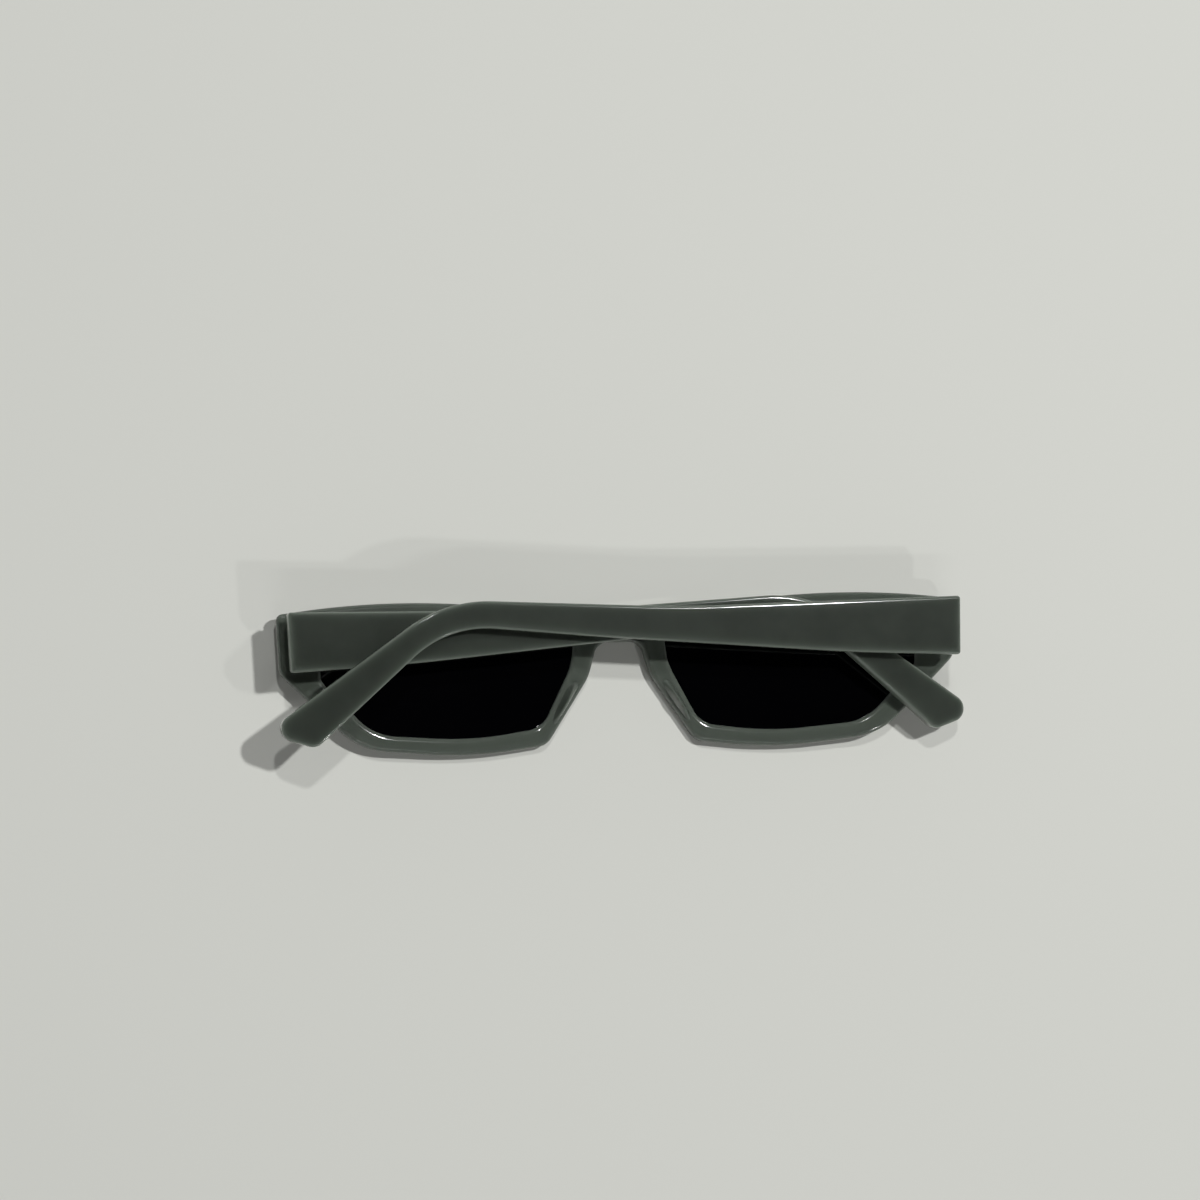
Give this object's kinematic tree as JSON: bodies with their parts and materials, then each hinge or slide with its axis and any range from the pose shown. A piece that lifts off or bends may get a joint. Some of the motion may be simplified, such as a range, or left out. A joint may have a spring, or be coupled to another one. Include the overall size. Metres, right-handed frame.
{
  "type": "sunglasses",
  "caption": "Narrow rectangular acetate sunglasses with a thick full rim, dark lenses, wide end pieces and straight temples on five-knuckle hinges, shown folded.",
  "frame": {"origin": "centre of the bridge on its outer face, which lies on the ground when the glasses lie face down", "axes": "+X to the wearer's right, +Y up the face, +Z out of the back of the front towards the wearer"},
  "size_m": [0.1498, 0.0328, 0.0208],
  "materials": {
    "acetate": "polished",
    "acetate_pad": "polished",
    "acetate_temple": "polished",
    "lens": "polished",
    "hinge_steel": "satin",
    "screw_steel": "satin",
    "core_steel": "plain"
  },
  "bodies": {
    "front": {"front_frame": "acetate", "left_lens": "lens", "right_lens": "lens", "left_nose_pad": "acetate_pad", "right_nose_pad": "acetate_pad", "left_front_hinge": "hinge_steel", "right_front_hinge": "hinge_steel", "left_hinge_screw": "screw_steel", "right_hinge_screw": "screw_steel"},
    "left_arm": {"left_temple": "acetate_temple", "left_temple_hinge": "hinge_steel", "left_core_wire": "core_steel"},
    "right_arm": {"right_temple": "acetate_temple", "right_temple_hinge": "hinge_steel", "right_core_wire": "core_steel"}
  },
  "joints": [
    {"name": "right_temple_hinge", "type": "hinge", "parent": "front", "child": "right_arm", "pos_m": [0.068, -0.00166, 0.0114], "axis": [0, 1, 0], "range_deg": [0, 89]},
    {"name": "left_temple_hinge", "type": "hinge", "parent": "front", "child": "left_arm", "pos_m": [-0.068, -0.00166, 0.0114], "axis": [0, -1, 0], "range_deg": [-0.05, 0.1]}
  ]
}
